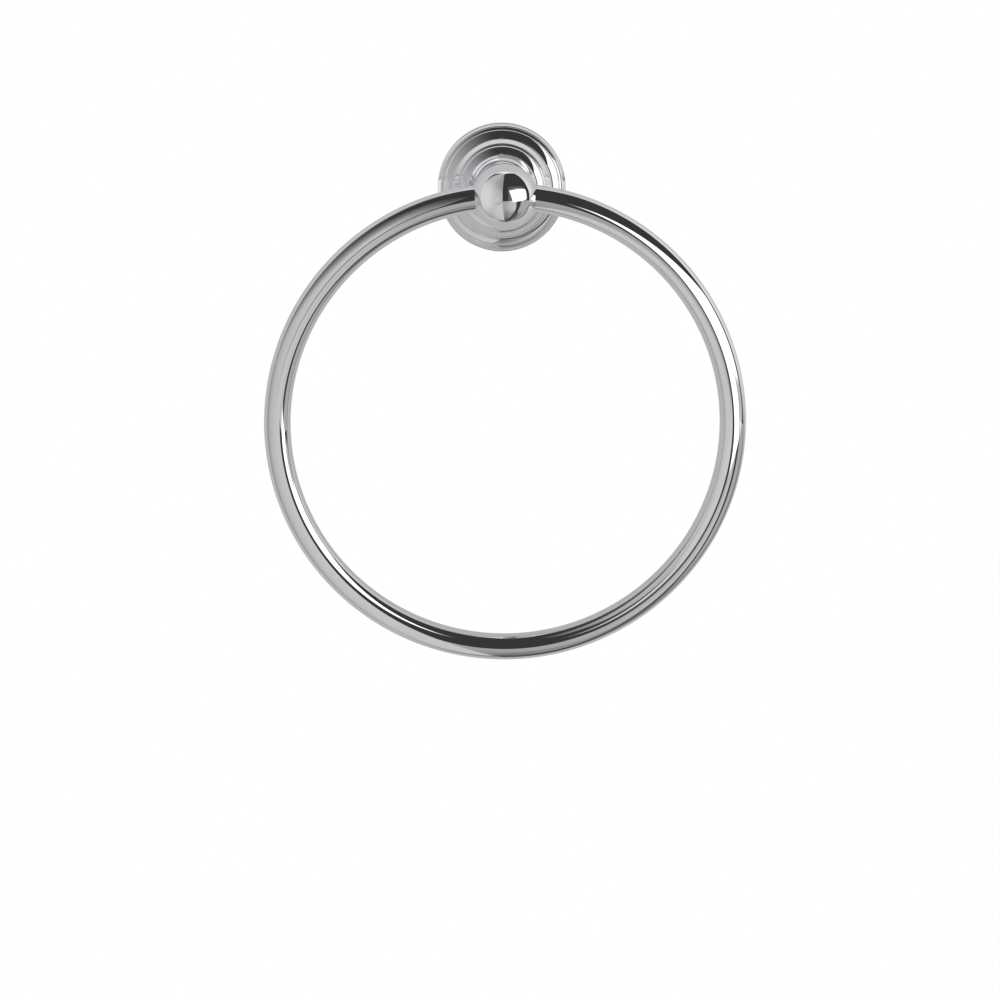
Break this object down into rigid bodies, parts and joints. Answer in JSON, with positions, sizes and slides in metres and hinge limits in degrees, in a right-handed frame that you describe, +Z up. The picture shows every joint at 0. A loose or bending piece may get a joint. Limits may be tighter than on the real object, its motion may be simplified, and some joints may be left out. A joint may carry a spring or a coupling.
{
  "type": "towel ring",
  "caption": "Wall-mounted towel ring: stepped round wall rose, short waisted neck, and a ball that holds a large fixed ring parallel to the wall.",
  "frame": {"origin": "centre of the rose's back on the wall plane, midway between the two wall screws", "axes": "+Z up, +X to the right as seen from the front, front faces -Y, wall is the plane Y = 0"},
  "size_m": [0.182, 0.0593, 0.2017],
  "materials": {
    "polished_chrome": "mirror-bright chrome plating on brass",
    "zinc_plate": "dull zinc-plated steel",
    "screw_steel": "machined stainless steel"
  },
  "bodies": {
    "root": {"wall_rose": "polished_chrome", "neck": "polished_chrome", "ball": "polished_chrome", "ring": "polished_chrome", "wall_bracket": "zinc_plate", "clamp_screw": "screw_steel", "spring_washer": "screw_steel", "rose_grub_screw": "screw_steel", "ring_lock_screw_left": "screw_steel", "ring_lock_screw_right": "screw_steel"}
  },
  "joints": []
}
